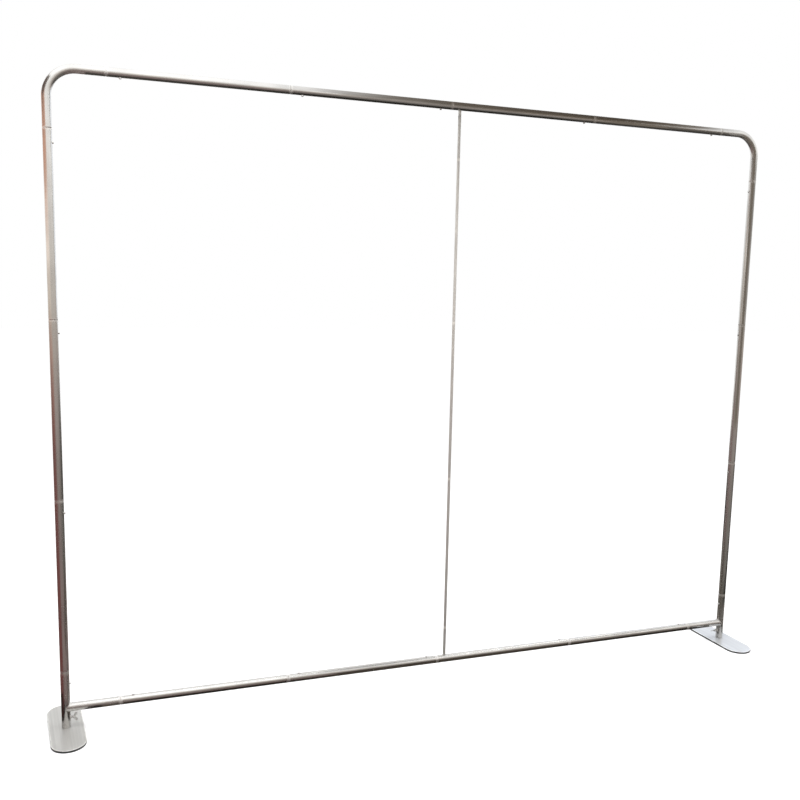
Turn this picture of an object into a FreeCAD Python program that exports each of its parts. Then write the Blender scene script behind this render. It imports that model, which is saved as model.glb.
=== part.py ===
import FreeCAD, Part
import math
import os

import Sketcher

# Free-standing tube frame of a fabric backdrop: two uprights, two bars, two foot plates and a centre pole.
# Frame: X across the backdrop, Y its depth (front is -Y), Z up.
# Origin: on the floor, midway between the two uprights.
# Every length is in millimetres and every angle in degrees.

SIZES = [
    # whole frame
    ("overall_width", 3048, "outside of one upright to outside of the other"),
    ("overall_height", 2438, "floor to the top of the top bar"),
    ("bar_height", 86, "floor to the bottom bar's axis"),
    ("tube_diameter", 32, "outside of every frame tube"),
    ("tube_wall", 1.5, "wall of every frame tube"),
    ("tee_leg_above", 142, "bottom bar's axis to the tee's upper joint line"),
    ("corner_leg", 208, "uppermost joint line to the top bar's axis"),
    ("arm_reach", 199, "upright's axis to the bar's first joint line"),
    ("bend_radius", 100, "centreline radius of the top corners"),
    # plug-in joints
    ("swage_length", 75, "plug-in end past the joint line"),
    ("neck_length", 4, "cone between the full tube and its plug-in end"),
    ("socket_clearance", 0.15, "radial gap between a plug-in end and its socket"),
    # snap buttons
    ("button_setback", 46, "joint line to the snap button"),
    ("button_diameter", 9, "snap button"),
    ("button_height", 4.5, "how far a snap button stands out of the tube"),
    ("button_clearance", 0.3, "radial gap round a snap button in its holes"),
    ("button_edge", 1.6, "rounding of a snap button's head"),
    ("spring_width", 9, "leaf spring strip"),
    ("spring_thickness", 1, "leaf spring strip"),
    ("spring_reach", 30, "button's axis to the spring's bend"),
    ("spring_tail", 7, "button's axis to the free end of the spring's leg"),
    ("spring_gap", 0.3, "between the spring and the bore, and between its two parts"),
    # foot plates
    ("plate_length", 368, "foot plate"),
    ("plate_width", 125.5, "foot plate"),
    ("plate_thickness", 6, "foot plate"),
    ("plate_edge", 0.8, "chamfer round the top of the foot plate"),
    ("left_plate_turn", 6.7, "left foot plate, counter-clockwise from above"),
    ("right_plate_turn", 2.4, "right foot plate, counter-clockwise from above"),
    ("pad_thickness", 3, "rubber pad under the foot plate"),
    ("pad_inset", 1, "pad's outline inside the plate's outline"),
    # spigots and their screws
    ("spigot_height", 62, "round post on the foot plate"),
    ("spigot_clearance", 0.1, "radial gap between the post and the tee's bore"),
    ("spigot_edge", 2, "chamfer round the post's top"),
    ("leg_gap", 0.3, "tee's leg above the foot plate"),
    ("screw_diameter", 8, "countersunk screw"),
    ("screw_head", 16, "diameter of the countersunk head"),
    ("screw_head_depth", 4.4, "height of the countersunk head"),
    ("screw_length", 25, "whole screw"),
    ("screw_clearance", 0.1, "round the screw, at its head and past its tip"),
    # wing bolts and the bosses that they turn in
    ("wing_bolt_height", 46, "floor to the wing bolt's axis"),
    ("wing_thread", 7.9, "diameter of the wing bolt's shank"),
    ("thread_clearance", 0.05, "radial gap between the shank and its boss"),
    ("leg_hole_clearance", 0.45, "radial gap between the shank and the tee's wall"),
    ("wing_tip_gap", 0.3, "between the wing bolt's tip and the spigot"),
    ("wing_tip_edge", 0.75, "chamfer of the wing bolt's tip"),
    ("boss_diameter", 14, "threaded boss"),
    ("boss_height", 4, "threaded boss, out from the tube's surface"),
    ("hub_start", 8, "tube's surface to the wing bolt's hub"),
    ("hub_length", 9, "wing bolt's hub"),
    ("hub_diameter", 11, "wing bolt's hub at its inner end"),
    ("hub_taper", 1, "how much smaller the hub's outer radius is"),
    ("wing_span", 36, "tip to tip across both wings"),
    ("wing_width", 10, "one rounded wing"),
    ("wing_thickness", 3, "one wing"),
    ("wing_lift", 30, "angle of each wing away from the tube"),
    ("left_wing_turn", 8, "left wing bolt about its axis"),
    ("right_wing_turn", 117, "right wing bolt about its axis"),
    # centre pole
    ("pole_offset", 37, "middle of the frame to the pole's axis"),
    ("pole_diameter", 12, "centre pole"),
    ("pole_wall", 1, "centre pole"),
    ("pole_fit", 0.1, "radial gap inside the pole, and between its plugs and the bars"),
    ("ferrule_length", 80, "rod inside a joint of the pole"),
    ("plug_collar", 6, "pole plug between the pole and the bar"),
    ("plug_inside", 30, "pole plug inside the pole"),
    ("pin_diameter", 8, "pole plug's pin"),
    ("pin_length", 9, "pole plug's pin inside the bar"),
    ("pin_clearance", 0.3, "radial gap round the pin in the bar's hole"),
    # tool paths
    ("overrun", 5, "how far every cut runs past what it cuts"),
]

UPRIGHT_TUBES = ("lower", "middle", "upper")
BAR_TUBES = ("outer_left", "inner_left", "inner_right", "outer_right")
POLE_TUBES = 4

DOC = FreeCAD.newDocument("backdrop_frame")
SHEET = DOC.addObject("Spreadsheet::Sheet", "Sizes")
SUBPARTS = []

# Lengths that follow from the sheet, as expressions that name its cells.
TUBE_R = "Sizes.tube_diameter / 2"
BORE_R = "(Sizes.tube_diameter / 2 - Sizes.tube_wall)"
PLUG_R = "(Sizes.tube_diameter / 2 - Sizes.tube_wall - Sizes.socket_clearance)"
PLUG_BORE_R = "(Sizes.tube_diameter / 2 - 2 * Sizes.tube_wall - Sizes.socket_clearance)"
UPRIGHT_X = "(Sizes.overall_width - Sizes.tube_diameter) / 2"
TOP_BAR_Z = "(Sizes.overall_height - Sizes.tube_diameter / 2)"
TEE_TOP_Z = "(Sizes.bar_height + Sizes.tee_leg_above)"
CORNER_JOINT_Z = f"({TOP_BAR_Z} - Sizes.corner_leg)"
UPRIGHT_TUBE_LENGTH = f"(({CORNER_JOINT_Z} - {TEE_TOP_Z}) / {len(UPRIGHT_TUBES)})"
BAR_TUBE_LENGTH = f"(2 * ({UPRIGHT_X} - Sizes.arm_reach) / {len(BAR_TUBES)})"
PLATE_TOP_Z = "(Sizes.pad_thickness + Sizes.plate_thickness)"
LEG_BELOW = f"(Sizes.bar_height - {PLATE_TOP_Z} - Sizes.leg_gap)"
BUTTON_HOLE_R = "(Sizes.button_diameter / 2 + Sizes.button_clearance)"
SPRING_R = f"sqrt(({PLUG_BORE_R} - Sizes.spring_gap) ^ 2 - (Sizes.spring_width / 2) ^ 2)"
SPIGOT_R = f"({BORE_R} - Sizes.spigot_clearance)"
POLE_BORE_R = "(Sizes.pole_diameter / 2 - Sizes.pole_wall)"
POLE_FERRULE_R = f"({POLE_BORE_R} - Sizes.pole_fit)"
POLE_FOOT_Z = f"(Sizes.bar_height + {TUBE_R} + Sizes.pole_fit + Sizes.plug_collar)"
POLE_HEAD_Z = f"({TOP_BAR_Z} - {TUBE_R} - Sizes.pole_fit - Sizes.plug_collar)"
POLE_TUBE_LENGTH = f"(({POLE_HEAD_Z} - {POLE_FOOT_Z}) / {POLE_TUBES})"
WING_BASE = f"({TUBE_R} + Sizes.hub_start)"

X = FreeCAD.Vector(1, 0, 0)
Z = FreeCAD.Vector(0, 0, 1)


def fill_sheet():
    for row, (alias, value, meaning) in enumerate(SIZES, start=1):
        SHEET.set(f"A{row}", meaning)
        SHEET.set(f"B{row}", str(value))
        SHEET.setAlias(f"B{row}", alias)
    DOC.recompute()


def value(expression):
    return float(SHEET.evalExpression(expression.replace("Sizes.", "")))


# Bodies, sketches and features


def new_body(label):
    body = DOC.addObject("PartDesign::Body", label)
    body.Label = label
    return body


def new_sketch(body, name, plane, lift="0", turn="0"):
    """A sketch on one of the body's origin planes, lifted along its normal and turned in it."""
    sketch = body.newObject("Sketcher::SketchObject", name)
    role = next(o for o in body.Origin.OriginFeatures if o.Role == plane + "_Plane")
    sketch.AttachmentSupport = [(role, "")]
    sketch.MapMode = "FlatFace"
    if lift != "0":
        sketch.setExpression("AttachmentOffset.Base.z", lift)
    if turn != "0":
        sketch.AttachmentOffset = FreeCAD.Placement(FreeCAD.Vector(), FreeCAD.Rotation(Z, value(turn)))
        sketch.setExpression("AttachmentOffset.Rotation.Angle", turn)
    return sketch


def hold(sketch, geometry, point, x, y):
    """Fixes one point of the sketch at (x, y), each an expression."""
    for axis, kind, where in ((-2, "DistanceX", x), (-1, "DistanceY", y)):
        if where == "0":
            sketch.addConstraint(Sketcher.Constraint("PointOnObject", geometry, point, axis))
        else:
            constraint = Sketcher.Constraint(kind, -1, 1, geometry, point, value(where))
            number = sketch.addConstraint(constraint)
            sketch.setExpression(f"Constraints[{number}]", where)


def draw_circle(sketch, x, y, radius):
    centre = FreeCAD.Vector(value(x), value(y), 0)
    number = sketch.addGeometry(Part.Circle(centre, Z, value(radius)), False)
    hold(sketch, number, 3, x, y)
    size = sketch.addConstraint(Sketcher.Constraint("Radius", number, value(radius)))
    sketch.setExpression(f"Constraints[{size}]", radius)


def draw_outline(sketch, corners, arcs=()):
    """A closed outline through the corners. An arc is (corner it leaves, centre x, centre y, turns left)."""
    arcs = {start: (x, y, left) for start, x, y, left in arcs}
    points = [FreeCAD.Vector(value(x), value(y), 0) for x, y in corners]
    ends = []
    for number, start in enumerate(points):
        end = points[(number + 1) % len(points)]
        if number in arcs:
            x, y, left = arcs[number]
            centre = FreeCAD.Vector(value(x), value(y), 0)
            first, last = (start, end) if left else (end, start)
            angles = [math.atan2((p - centre).y, (p - centre).x) for p in (first, last)]
            circle = Part.Circle(centre, Z, (start - centre).Length)
            sketch.addGeometry(Part.ArcOfCircle(circle, *angles), False)
            ends.append((1, 2) if left else (2, 1))
        else:
            sketch.addGeometry(Part.LineSegment(start, end), False)
            ends.append((1, 2))
    for number, (x, y) in enumerate(corners):
        before = number - 1 if number else len(corners) - 1
        joined = Sketcher.Constraint("Coincident", before, ends[before][1], number, ends[number][0])
        sketch.addConstraint(joined)
        hold(sketch, number, ends[number][0], x, y)
    for number, (x, y, left) in arcs.items():
        chord = points[(number + 1) % len(points)] - points[number]
        kind, where, axis = ("DistanceY", y, -1) if abs(chord.x) > abs(chord.y) else ("DistanceX", x, -2)
        if where == "0":
            sketch.addConstraint(Sketcher.Constraint("PointOnObject", number, 3, axis))
        else:
            size = sketch.addConstraint(Sketcher.Constraint(kind, -1, 1, number, 3, value(where)))
            sketch.setExpression(f"Constraints[{size}]", where)


def revolve(body, name, sketch, axis="V_Axis", angle="360"):
    feature = body.newObject("PartDesign::Revolution", name)
    feature.Profile = sketch
    feature.ReferenceAxis = (sketch, [axis])
    feature.Angle = float(angle)
    return feature


def groove(body, name, sketch, axis="V_Axis"):
    feature = body.newObject("PartDesign::Groove", name)
    feature.Profile = sketch
    feature.ReferenceAxis = (sketch, [axis])
    feature.Angle = 360
    return feature


def pad(body, name, sketch, length, both_ways=False):
    feature = body.newObject("PartDesign::Pad", name)
    feature.Profile = sketch
    feature.Midplane = both_ways
    feature.setExpression("Length", length)
    return feature


def pocket(body, name, sketch, length, along_normal=False, both_ways=False):
    """Cuts against the sketch's normal, or along it."""
    feature = body.newObject("PartDesign::Pocket", name)
    feature.Profile = sketch
    feature.Midplane = both_ways
    feature.Reversed = along_normal
    feature.setExpression("Length", length)
    return feature


def place(body, x="0", y="0", z="0", rotation=None, turn=None):
    """Puts a sub-part in the frame and lists it."""
    spin = FreeCAD.Rotation(Z, value(turn)) if turn else FreeCAD.Rotation()
    body.Placement = FreeCAD.Placement(FreeCAD.Vector(), rotation or spin)
    for axis, where in (("x", x), ("y", y), ("z", z)):
        if where != "0":
            body.setExpression("Placement.Base." + axis, where)
    if turn:
        body.setExpression("Placement.Rotation.Angle", turn)
    SUBPARTS.append(body)


def facing(along, out):
    """Turns a piece so that its own Z runs along one direction and its own X points out along the other."""
    return FreeCAD.Rotation(out, along.cross(out), along, "ZXY")


# Frame tubes


def plug_end_corners(length):
    """Half section of a tube from its plug-in end to the given length, about the tube's axis."""
    return [
        (PLUG_BORE_R, "-Sizes.swage_length"),
        (PLUG_R, "-Sizes.swage_length"),
        (PLUG_R, "0"),
        (TUBE_R, "Sizes.neck_length"),
        (TUBE_R, length),
        (BORE_R, length),
        (BORE_R, "Sizes.neck_length"),
        (PLUG_BORE_R, "0"),
    ]


def cut_side_hole(body, name, along, radius):
    """A round hole through the wall on the tube's own +X side."""
    sketch = new_sketch(body, name + "_circle", "YZ")
    draw_circle(sketch, "0", along, radius)
    pocket(body, name, sketch, f"{TUBE_R} + Sizes.overrun", along_normal=True)


def make_plug_tube(label, length, pole_hole=False):
    """Tube with a plug-in end below its joint line at zero and a plain socket at its far end."""
    body = new_body(label)
    section = new_sketch(body, "section", "XZ")
    draw_outline(section, plug_end_corners(length))
    revolve(body, "tube", section)
    cut_side_hole(body, "plug_hole", "-Sizes.button_setback", BUTTON_HOLE_R)
    cut_side_hole(body, "socket_hole", f"{length} - Sizes.button_setback", BUTTON_HOLE_R)
    if pole_hole:
        cut_side_hole(body, "pole_hole", "Sizes.pole_offset", "Sizes.pin_diameter / 2 + Sizes.pin_clearance")
    return body


def make_socket_tube(label, length):
    """Tube with a plain socket at both ends."""
    body = new_body(label)
    section = new_sketch(body, "section", "XZ")
    draw_outline(section, [(BORE_R, "0"), (TUBE_R, "0"), (TUBE_R, length), (BORE_R, length)])
    revolve(body, "tube", section)
    cut_side_hole(body, "near_hole", "Sizes.button_setback", BUTTON_HOLE_R)
    cut_side_hole(body, "far_hole", f"{length} - Sizes.button_setback", BUTTON_HOLE_R)
    return body


def make_uprights():
    for side, sign, inward in (("left", "-", X), ("right", "", -X)):
        for number, position in enumerate(UPRIGHT_TUBES):
            tube = make_plug_tube(f"{side}_upright_{position}_tube", UPRIGHT_TUBE_LENGTH)
            start = f"{TEE_TOP_Z} + {number} * {UPRIGHT_TUBE_LENGTH}"
            place(tube, sign + UPRIGHT_X, z=start, rotation=facing(Z, inward))


def make_bars():
    """Both bars. Their snap buttons point at the space between the bars."""
    for bar, height, inward in (("top", TOP_BAR_Z, -Z), ("bottom", "Sizes.bar_height", Z)):
        names = [f"{bar}_bar_{position}_tube" for position in BAR_TUBES]
        outer_left = make_plug_tube(names[0], BAR_TUBE_LENGTH)
        place(outer_left, f"-{BAR_TUBE_LENGTH}", z=height, rotation=facing(-X, inward))
        inner_left = make_socket_tube(names[1], BAR_TUBE_LENGTH)
        place(inner_left, f"-{BAR_TUBE_LENGTH}", z=height, rotation=facing(X, inward))
        inner_right = make_plug_tube(names[2], BAR_TUBE_LENGTH, pole_hole=True)
        place(inner_right, z=height, rotation=facing(X, inward))
        outer_right = make_plug_tube(names[3], BAR_TUBE_LENGTH)
        place(outer_right, BAR_TUBE_LENGTH, z=height, rotation=facing(X, inward))


def draw_arm_section(sketch, start, height):
    """Half section of a horizontal arm with its plug-in end at the far side, above the arm's axis."""
    reach = "Sizes.arm_reach"
    draw_outline(
        sketch,
        [
            (start, f"{height} + {BORE_R}"),
            (start, f"{height} + {TUBE_R}"),
            (f"{reach} - Sizes.neck_length", f"{height} + {TUBE_R}"),
            (reach, f"{height} + {PLUG_R}"),
            (f"{reach} + Sizes.swage_length", f"{height} + {PLUG_R}"),
            (f"{reach} + Sizes.swage_length", f"{height} + {PLUG_BORE_R}"),
            (reach, f"{height} + {PLUG_BORE_R}"),
            (f"{reach} - Sizes.neck_length", f"{height} + {BORE_R}"),
        ],
    )


def draw_axis_line(sketch, start, end):
    """A construction line between two points, the sketch's first axis."""
    points = [FreeCAD.Vector(value(x), value(y), 0) for x, y in (start, end)]
    number = sketch.addGeometry(Part.LineSegment(*points), True)
    hold(sketch, number, 1, *start)
    hold(sketch, number, 2, *end)


def make_corner_bend(label):
    """Top corner: leg from its joint line up, a quarter bend, and an arm to the bar's joint line."""
    body = new_body(label)
    straight = "(Sizes.corner_leg - Sizes.bend_radius)"
    leg_section = new_sketch(body, "leg_section", "XZ")
    draw_outline(leg_section, plug_end_corners(straight))
    revolve(body, "leg", leg_section)
    ring = new_sketch(body, "bend_section", "XY", lift=straight)
    draw_circle(ring, "0", "0", TUBE_R)
    draw_circle(ring, "0", "0", BORE_R)
    draw_axis_line(ring, ("Sizes.bend_radius", "0"), ("Sizes.bend_radius", "Sizes.tube_diameter"))
    bend = revolve(body, "bend", ring, "Axis0", "90")
    arm_section = new_sketch(body, "arm_section", "XZ")
    draw_arm_section(arm_section, "Sizes.bend_radius", "Sizes.corner_leg")
    draw_axis_line(arm_section, ("0", "Sizes.corner_leg"), ("Sizes.arm_reach", "Sizes.corner_leg"))
    revolve(body, "arm", arm_section, "Axis0")
    cut_side_hole(body, "leg_hole", "-Sizes.button_setback", BUTTON_HOLE_R)
    cut_arm_hole(body, "Sizes.corner_leg", upward=False)
    DOC.recompute()
    if bend.Shape.BoundBox.XMax < value("Sizes.bend_radius") / 2:
        bend.Reversed = True
    return body


def cut_arm_hole(body, height, upward):
    """The snap button's hole in an arm's plug-in end, through its upper or its lower wall."""
    circle = new_sketch(body, "arm_hole_circle", "XY", lift=height)
    draw_circle(circle, "Sizes.arm_reach + Sizes.button_setback", "0", BUTTON_HOLE_R)
    pocket(body, "arm_hole", circle, f"{TUBE_R} + Sizes.overrun", along_normal=upward)


def make_foot_tee(label):
    """Bottom corner, about the bottom bar's axis: a socketed leg with the bar's arm welded to its side."""
    body = new_body(label)
    disc = new_sketch(body, "leg_circle", "XY", lift=f"-{LEG_BELOW}")
    draw_circle(disc, "0", "0", TUBE_R)
    pad(body, "leg", disc, f"{LEG_BELOW} + Sizes.tee_leg_above")
    arm_section = new_sketch(body, "arm_section", "XZ")
    draw_arm_section(arm_section, "0", "0")
    revolve(body, "arm", arm_section, "H_Axis")
    bore = new_sketch(body, "bore_section", "XZ")
    low, high = f"-{LEG_BELOW} - Sizes.overrun", "Sizes.tee_leg_above + Sizes.overrun"
    draw_outline(bore, [("0", low), (BORE_R, low), (BORE_R, high), ("0", high)])
    groove(body, "leg_bore", bore)
    cut_side_hole(body, "leg_hole", "Sizes.tee_leg_above - Sizes.button_setback", BUTTON_HOLE_R)
    cut_arm_hole(body, "0", upward=True)
    bolt_hole = "Sizes.wing_thread / 2 + Sizes.leg_hole_clearance"
    cut_side_hole(body, "wing_bolt_hole", "Sizes.wing_bolt_height - Sizes.bar_height", bolt_hole)
    return body


def make_corners():
    for side, sign, inward in (("left", "-", X), ("right", "", -X)):
        turned = facing(Z, inward)
        bend = make_corner_bend(f"{side}_top_corner_bend")
        place(bend, sign + UPRIGHT_X, z=CORNER_JOINT_Z, rotation=turned)
        tee = make_foot_tee(f"{side}_foot_tee")
        place(tee, sign + UPRIGHT_X, z="Sizes.bar_height", rotation=turned)


# Snap buttons, in the frame of the joint that they lock: Z away from the plug-in end, X out of the tube


def make_snap_button(label):
    """Button on the front leg of its leaf spring, inside the plug-in end."""
    body = new_body(label)
    low = "-Sizes.button_setback - Sizes.spring_tail"
    high = "Sizes.spring_reach - Sizes.button_setback"
    leg_section = new_sketch(body, "leg_section", "XZ")
    inner = f"{SPRING_R} - Sizes.spring_thickness"
    draw_outline(leg_section, [(inner, low), (SPRING_R, low), (SPRING_R, high), (inner, high)])
    pad(body, "spring_leg", leg_section, "Sizes.spring_width", both_ways=True)
    disc = new_sketch(body, "button_circle", "YZ", lift=inner)
    draw_circle(disc, "0", "-Sizes.button_setback", "Sizes.button_diameter / 2")
    head = pad(body, "button", disc, f"{TUBE_R} + Sizes.button_height - ({inner})")
    DOC.recompute()
    round_outer_edge(body, head, "Sizes.button_edge")
    return body


def round_outer_edge(body, head, radius):
    """Rounds the edge that lies furthest out along the body's own X."""
    edges = head.Shape.Edges
    outermost = max(range(len(edges)), key=lambda n: edges[n].BoundBox.XMin)
    fillet = body.newObject("PartDesign::Fillet", "round_head")
    fillet.Base = (head, [f"Edge{outermost + 1}"])
    fillet.setExpression("Radius", radius)
    return fillet


def make_button_spring(name):
    """Bend and back leg of a snap button's leaf spring."""
    body = new_body(name)
    bend = "Sizes.spring_reach - Sizes.button_setback + Sizes.spring_gap"
    low = "-Sizes.button_setback - Sizes.spring_tail"
    inner = f"({SPRING_R} - Sizes.spring_thickness)"
    strip = new_sketch(body, "strip_section", "XZ")
    corners = [
        (inner, bend),
        (SPRING_R, bend),
        (f"-{SPRING_R}", bend),
        (f"-{SPRING_R}", low),
        (f"-{inner}", low),
        (f"-{inner}", bend),
    ]
    draw_outline(strip, corners, [(1, "0", bend, True), (5, "0", bend, False)])
    pad(body, "strip", strip, "Sizes.spring_width", both_ways=True)
    return body


def upright_joints():
    """Where the snap joints of the uprights are: name, place and direction of the plug-in tube, way out."""
    for side, sign, inward in (("left", "-", X), ("right", "", -X)):
        for number in range(len(UPRIGHT_TUBES) + 1):
            height = f"{TEE_TOP_Z} + {number} * {UPRIGHT_TUBE_LENGTH}"
            yield f"{side}_upright_button_{number + 1}", sign + UPRIGHT_X, height, Z, inward


def bar_joints():
    """The same for the bars. Left of the middle the plug-in tubes run left, else right."""
    runs = (-X, -X, X, X, X)
    for bar, height, inward in (("top", TOP_BAR_Z, -Z), ("bottom", "Sizes.bar_height", Z)):
        for number, along in enumerate(runs):
            step = number - len(BAR_TUBES) // 2
            where = f"{step} * {BAR_TUBE_LENGTH}"
            yield f"{bar}_bar_button_{number + 1}", where, height, along, inward


def make_snap_joints(joints, springs_label):
    springs = []
    for name, x, z, along, out in joints:
        rotation = facing(along, out)
        place(make_snap_button(name), x, z=z, rotation=rotation)
        spring = make_button_spring(name + "_spring")
        spring.Placement = FreeCAD.Placement(FreeCAD.Vector(), rotation)
        spring.setExpression("Placement.Base.x", x)
        spring.setExpression("Placement.Base.z", z)
        springs.append(spring)
    group = DOC.addObject("Part::Compound", springs_label)
    group.Label = springs_label
    group.Links = springs
    SUBPARTS.append(group)


# Feet


def draw_round_ended(sketch, inset="0"):
    """A rectangle with half-round ends, long along the sketch's y."""
    side = f"(Sizes.plate_width / 2 - {inset})"
    end = "(Sizes.plate_length - Sizes.plate_width) / 2"
    corners = [(side, f"-{end}"), (side, end), (f"-{side}", end), (f"-{side}", f"-{end}")]
    draw_outline(sketch, corners, [(1, "0", end, True), (3, "0", f"-{end}", True)])


def make_foot_plate(label):
    """Flat plate, about its own middle, with a countersunk hole from below."""
    body = new_body(label)
    outline = new_sketch(body, "outline", "XY")
    draw_round_ended(outline)
    plate = pad(body, "plate", outline, "Sizes.plate_thickness")
    DOC.recompute()
    half = value("Sizes.plate_thickness") / 2
    top = [n for n, edge in enumerate(plate.Shape.Edges) if edge.BoundBox.ZMin > half]
    chamfer = body.newObject("PartDesign::Chamfer", "top_edge")
    chamfer.Base = (plate, [f"Edge{n + 1}" for n in top])
    chamfer.setExpression("Size", "Sizes.plate_edge")
    hole = new_sketch(body, "hole_section", "XZ")
    head = "Sizes.screw_head / 2 + Sizes.screw_clearance"
    shank = "Sizes.screw_diameter / 2 + Sizes.screw_clearance"
    above = "Sizes.plate_thickness + Sizes.overrun"
    corners = [
        ("0", "-Sizes.overrun"),
        (head, "-Sizes.overrun"),
        (head, "Sizes.screw_clearance"),
        (shank, "Sizes.screw_head_depth + Sizes.screw_clearance"),
        (shank, above),
        ("0", above),
    ]
    draw_outline(hole, corners)
    groove(body, "countersunk_hole", hole)
    return body


def make_foot_pad(label):
    """Rubber pad of the plate's outline."""
    body = new_body(label)
    outline = new_sketch(body, "outline", "XY")
    draw_round_ended(outline, "Sizes.pad_inset")
    pad(body, "pad", outline, "Sizes.pad_thickness")
    return body


def make_spigot(label):
    """Round post with a chamfered top and a blind hole for its screw."""
    body = new_body(label)
    section = new_sketch(body, "section", "XZ")
    bore = "Sizes.screw_diameter / 2 + Sizes.screw_clearance"
    depth = "Sizes.screw_length - Sizes.plate_thickness + Sizes.screw_clearance * 2"
    corners = [
        (bore, "0"),
        (SPIGOT_R, "0"),
        (SPIGOT_R, "Sizes.spigot_height - Sizes.spigot_edge"),
        (f"{SPIGOT_R} - Sizes.spigot_edge", "Sizes.spigot_height"),
        ("0", "Sizes.spigot_height"),
        ("0", depth),
        (bore, depth),
    ]
    draw_outline(section, corners)
    revolve(body, "post", section)
    return body


def make_spigot_screw(label):
    """Countersunk screw, its flat head down."""
    body = new_body(label)
    section = new_sketch(body, "section", "XZ")
    corners = [
        ("0", "0"),
        ("Sizes.screw_head / 2", "0"),
        ("Sizes.screw_diameter / 2", "Sizes.screw_head_depth"),
        ("Sizes.screw_diameter / 2", "Sizes.screw_length"),
        ("0", "Sizes.screw_length"),
    ]
    draw_outline(section, corners)
    revolve(body, "screw", section)
    return body


def make_feet():
    for side, sign in (("left", "-"), ("right", "")):
        turn = f"Sizes.{side}_plate_turn"
        middle = sign + UPRIGHT_X
        place(make_foot_pad(f"{side}_foot_pad"), middle, turn=turn)
        place(make_foot_plate(f"{side}_foot_plate"), middle, z="Sizes.pad_thickness", turn=turn)
        place(make_spigot(f"{side}_foot_spigot"), middle, z=PLATE_TOP_Z, turn=turn)
        place(make_spigot_screw(f"{side}_spigot_screw"), middle, z="Sizes.pad_thickness", turn=turn)


# Wing bolts, in a frame on the tee leg's axis: Z out of the leg, X up before the bolt is turned


def make_thread_boss(label):
    """Round boss that fits the leg's surface, with the wing bolt's threaded hole."""
    body = new_body(label)
    disc = new_sketch(body, "boss_circle", "XY")
    draw_circle(disc, "0", "0", "Sizes.boss_diameter / 2")
    pad(body, "boss", disc, f"{TUBE_R} + Sizes.boss_height")
    leg = new_sketch(body, "leg_circle", "YZ")
    draw_circle(leg, "0", "0", TUBE_R)
    pocket(body, "saddle", leg, "Sizes.tube_diameter", both_ways=True)
    hole = new_sketch(body, "thread_circle", "XY")
    draw_circle(hole, "0", "0", "Sizes.wing_thread / 2 + Sizes.thread_clearance")
    pocket(body, "thread", hole, f"{TUBE_R} + Sizes.boss_height + Sizes.overrun", along_normal=True)
    return body


def make_wing_bolt(label):
    """Shank, tapered hub and two rounded wings in one plane."""
    body = new_body(label)
    section = new_sketch(body, "section", "XZ")
    tip = f"({SPIGOT_R} + Sizes.wing_tip_gap)"
    shank = "Sizes.wing_thread / 2"
    outer = f"{WING_BASE} + Sizes.hub_length"
    corners = [
        ("0", tip),
        (f"{shank} - Sizes.wing_tip_edge", tip),
        (shank, f"{tip} + Sizes.wing_tip_edge"),
        (shank, WING_BASE),
        ("Sizes.hub_diameter / 2", WING_BASE),
        ("Sizes.hub_diameter / 2 - Sizes.hub_taper", outer),
        ("0", outer),
    ]
    draw_outline(section, corners)
    revolve(body, "shank_and_hub", section)
    wing = new_sketch(body, "wing_outline", "XZ", turn="Sizes.wing_lift")
    reach = "Sizes.wing_span / 2 - Sizes.wing_width / 2"
    middle = f"({WING_BASE} + Sizes.hub_length / 2)"
    along = f"({middle} * sin(Sizes.wing_lift * 1deg))"
    across = f"({middle} * cos(Sizes.wing_lift * 1deg))"
    far = f"{along} + ({reach}) / cos(Sizes.wing_lift * 1deg)"
    half = "Sizes.wing_width / 2"
    corners = [
        (along, f"{across} - {half}"),
        (far, f"{across} - {half}"),
        (far, f"{across} + {half}"),
        (along, f"{across} + {half}"),
    ]
    draw_outline(wing, corners, [(1, far, across, True)])
    blade = pad(body, "wing", wing, "Sizes.wing_thickness", both_ways=True)
    other = body.newObject("PartDesign::Mirrored", "other_wing")
    other.Originals = [blade]
    plane = next(o for o in body.Origin.OriginFeatures if o.Role == "YZ_Plane")
    other.MirrorPlane = (plane, [""])
    body.Tip = other
    return body


def make_wing_bolts():
    for side, sign, inward in (("left", "-", X), ("right", "", -X)):
        where = dict(x=sign + UPRIGHT_X, z="Sizes.wing_bolt_height")
        place(make_thread_boss(f"{side}_threaded_boss"), rotation=facing(inward, Z), **where)
        turn = FreeCAD.Rotation(Z, value(f"Sizes.{side}_wing_turn"))
        place(make_wing_bolt(f"{side}_wing_bolt"), rotation=facing(inward, Z) * turn, **where)


# Centre pole


def make_rod(label, radius, length, bore=None):
    body = new_body(label)
    section = new_sketch(body, "section", "XZ")
    inner = bore or "0"
    draw_outline(section, [(inner, "0"), (radius, "0"), (radius, length), (inner, length)])
    revolve(body, "rod", section)
    return body


def make_pole_plug(label):
    """Plug at a pole end: a rod inside the pole, a collar, and a pin that enters the bar, all along Z."""
    body = new_body(label)
    section = new_sketch(body, "section", "XZ")
    bar_face = "Sizes.plug_collar + Sizes.pole_fit"
    corners = [
        ("0", "-Sizes.plug_inside"),
        (POLE_FERRULE_R, "-Sizes.plug_inside"),
        (POLE_FERRULE_R, "0"),
        ("Sizes.pole_diameter / 2", "0"),
        ("Sizes.pole_diameter / 2", "Sizes.plug_collar"),
        ("Sizes.pin_diameter / 2", "Sizes.plug_collar"),
        ("Sizes.pin_diameter / 2", f"{bar_face} + Sizes.pin_length"),
        ("0", f"{bar_face} + Sizes.pin_length"),
    ]
    draw_outline(section, corners)
    revolve(body, "plug", section)
    return body


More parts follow.
